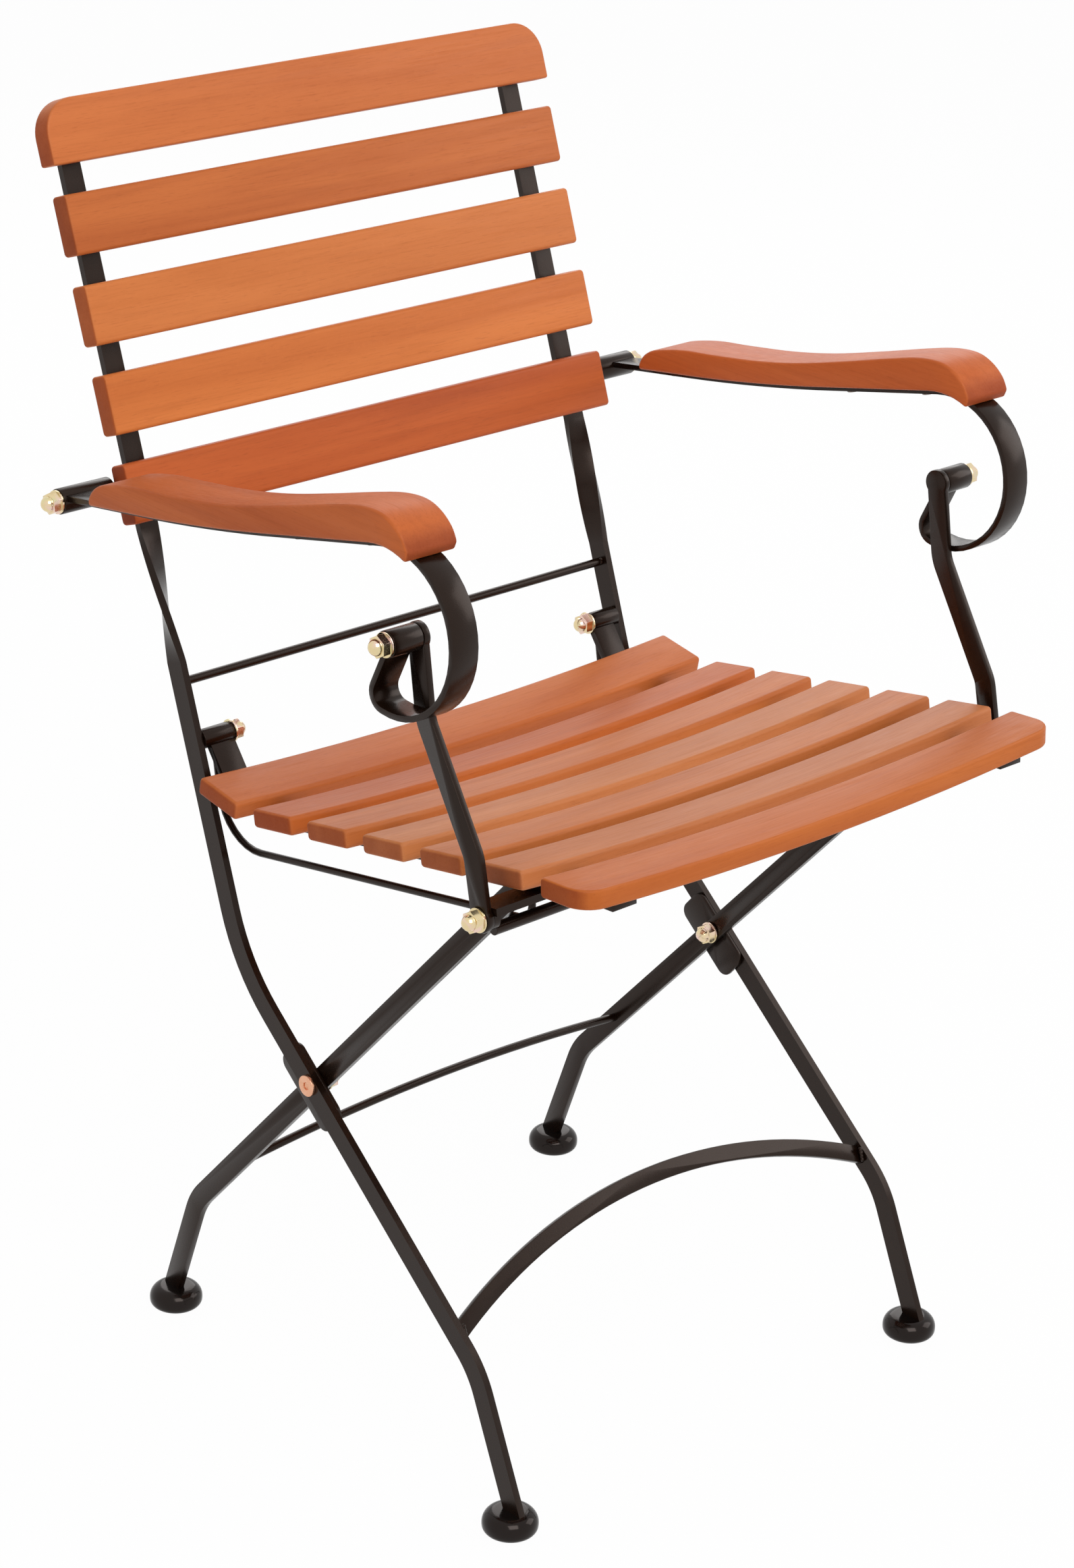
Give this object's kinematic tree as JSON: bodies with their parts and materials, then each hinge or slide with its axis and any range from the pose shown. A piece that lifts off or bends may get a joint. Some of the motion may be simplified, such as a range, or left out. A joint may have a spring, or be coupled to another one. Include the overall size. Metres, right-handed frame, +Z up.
{
  "type": "folding garden armchair",
  "caption": "Folding garden armchair of black flat steel with reddish-brown hardwood slats, dished seat, scrolled arms with wooden rests and crossing legs",
  "frame": {"origin": "on the floor, at the middle of the standing chair's box", "axes": "+X to the sitter's left, -Y the way the sitter faces, +Z up"},
  "size_m": [0.5414, 0.548, 0.8669],
  "materials": {
    "black_steel": "black powder coat, satin, soft highlights",
    "back_wood": "oiled reddish-brown hardwood, satin",
    "seat_wood": "oiled reddish-brown hardwood, satin",
    "arm_wood": "oiled reddish-brown hardwood, satin",
    "foot_caps": "glossy black",
    "cap_nuts": "yellow zinc plating, bright",
    "socket_heads": "copper-coloured plating, bright",
    "wood_screws": "dark zinc"
  },
  "bodies": {
    "frame": {"back_bar_left": "black_steel", "back_bar_right": "black_steel", "front_arch": "black_steel", "back_rod": "black_steel", "back_slat_1": "back_wood", "back_slat_2": "back_wood", "back_slat_3": "back_wood", "back_slat_4": "back_wood", "back_slat_5": "back_wood", "stop_plate_left": "black_steel", "stop_plate_right": "black_steel", "front_foot_left": "foot_caps", "front_foot_right": "foot_caps", "seat_pivot_studs": "black_steel", "arm_pivot_studs": "black_steel", "seat_pivot_nuts": "cap_nuts", "arm_pivot_nuts": "cap_nuts", "cross_bolts": "socket_heads", "cross_nuts": "cap_nuts", "back_slat_screws": "wood_screws"},
    "rear_legs": {"rear_leg_left": "black_steel", "rear_leg_right": "black_steel", "rear_bow_rod": "black_steel", "rear_foot_left": "foot_caps", "rear_foot_right": "foot_caps"},
    "seat": {"seat_rail_left": "black_steel", "seat_rail_right": "black_steel", "seat_tube_left": "black_steel", "seat_tube_right": "black_steel", "seat_cross_strip": "black_steel", "seat_front_rod": "black_steel", "guide_wire_left": "black_steel", "guide_wire_right": "black_steel", "seat_slat_1": "seat_wood", "seat_slat_2": "seat_wood", "seat_slat_3": "seat_wood", "seat_slat_4": "seat_wood", "seat_slat_5": "seat_wood", "seat_slat_6": "seat_wood", "seat_slat_7": "seat_wood", "seat_slat_screws": "wood_screws", "post_foot_bolts": "black_steel", "post_foot_nuts": "cap_nuts"},
    "sliding_rod": {"slide_rod": "black_steel"},
    "arm_left": {"arm_strap_left": "black_steel", "arm_rear_tube_left": "black_steel", "arm_front_tube_left": "black_steel", "arm_rest_left": "arm_wood", "arm_screws_left": "wood_screws"},
    "arm_right": {"arm_strap_right": "black_steel", "arm_rear_tube_right": "black_steel", "arm_front_tube_right": "black_steel", "arm_rest_right": "arm_wood", "arm_screws_right": "wood_screws"},
    "post_left": {"arm_post_left": "black_steel", "post_top_bolt_left": "cap_nuts"},
    "post_right": {"arm_post_right": "black_steel", "post_top_bolt_right": "cap_nuts"}
  },
  "joints": [
    {"name": "seat_fold", "type": "hinge", "parent": "frame", "child": "seat", "pos_m": [0, 0.1278, 0.455], "axis": [-1, 0, 0], "range_deg": [0, 100]},
    {"name": "leg_fold", "type": "hinge", "parent": "frame", "child": "rear_legs", "pos_m": [0, 0.0048, 0.246], "axis": [-1, 0, 0], "range_deg": [0, 58.33]},
    {"name": "rod_slide", "type": "slide", "parent": "seat", "child": "sliding_rod", "axis": [0, 0.9822, -0.1879], "range_m": [0, 0.2658]},
    {"name": "arm_fold_left", "type": "hinge", "parent": "frame", "child": "arm_left", "pos_m": [0, 0.1913, 0.62], "axis": [-1, 0, 0], "range_deg": [0, 100]},
    {"name": "post_turn_left", "type": "hinge", "parent": "seat", "child": "post_left", "pos_m": [0, -0.2022, 0.45558], "axis": [-1, 0, 0], "range_deg": [-100, 0]},
    {"name": "arm_fold_right", "type": "hinge", "parent": "frame", "child": "arm_right", "pos_m": [0, 0.1913, 0.62], "axis": [-1, 0, 0], "range_deg": [0, 100]},
    {"name": "post_turn_right", "type": "hinge", "parent": "seat", "child": "post_right", "pos_m": [0, -0.2022, 0.45558], "axis": [-1, 0, 0], "range_deg": [-100, 0]}
  ],
  "couplings": [
    {"joint": "leg_fold", "follows": "seat_fold", "ratio": 0.58327},
    {"joint": "rod_slide", "follows": "seat_fold", "m_per_rad": 0.15222},
    {"joint": "arm_fold_left", "follows": "seat_fold", "ratio": 1},
    {"joint": "post_turn_left", "follows": "seat_fold", "ratio": -1},
    {"joint": "arm_fold_right", "follows": "seat_fold", "ratio": 1},
    {"joint": "post_turn_right", "follows": "seat_fold", "ratio": -1}
  ]
}
